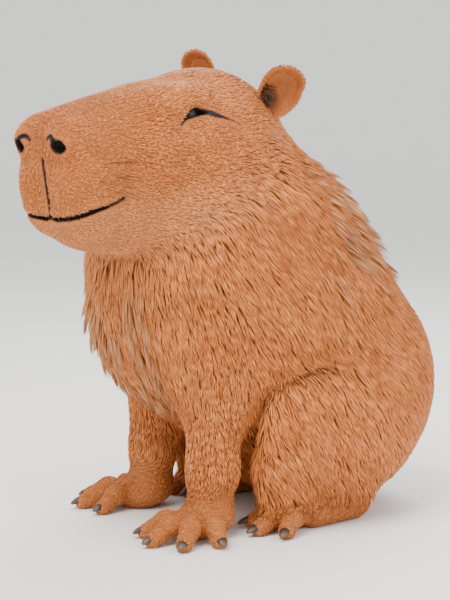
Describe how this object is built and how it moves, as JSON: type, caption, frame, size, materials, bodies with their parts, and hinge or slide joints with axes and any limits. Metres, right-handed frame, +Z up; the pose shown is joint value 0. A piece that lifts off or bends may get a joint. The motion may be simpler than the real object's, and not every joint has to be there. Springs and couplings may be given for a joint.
{
  "type": "capybara",
  "caption": "Life-size still model of a capybara sitting upright on its haunches, head turned a little to its left, eyes half closed, with a coarse tan coat.",
  "frame": {"origin": "on the floor under the middle of the animal's box", "axes": "+Z up, the chest faces -Y, the animal's left side is on +X"},
  "size_m": [0.3788, 0.6768, 0.6728],
  "materials": {
    "coat": "coarse flat-lying bristly coat, reddish tan, dry",
    "bare_skin": "tan skin of the feet under very short hair, darker where it is bare",
    "ear_skin": "thin short-haired skin, darker inside the cup",
    "eye": "very dark brown, wet gloss",
    "claw_horn": "dark worn horn, dull gloss"
  },
  "bodies": {
    "root": {"head": "coat", "neck": "coat", "torso": "coat", "rump": "coat", "tail": "coat", "foreleg_left": "coat", "foreleg_right": "coat", "thigh_left": "coat", "thigh_right": "coat", "forefoot_left": "bare_skin", "forefoot_right": "bare_skin", "hindfoot_left": "bare_skin", "hindfoot_right": "bare_skin", "ear_left": "ear_skin", "ear_right": "ear_skin", "eye_left": "eye", "eye_right": "eye", "forefoot_claw_left_1": "claw_horn", "forefoot_claw_left_2": "claw_horn", "forefoot_claw_left_3": "claw_horn", "forefoot_claw_left_4": "claw_horn", "forefoot_claw_right_1": "claw_horn", "forefoot_claw_right_2": "claw_horn", "forefoot_claw_right_3": "claw_horn", "forefoot_claw_right_4": "claw_horn", "hindfoot_claw_left_1": "claw_horn", "hindfoot_claw_left_2": "claw_horn", "hindfoot_claw_left_3": "claw_horn", "hindfoot_claw_right_1": "claw_horn", "hindfoot_claw_right_2": "claw_horn", "hindfoot_claw_right_3": "claw_horn"}
  },
  "joints": []
}
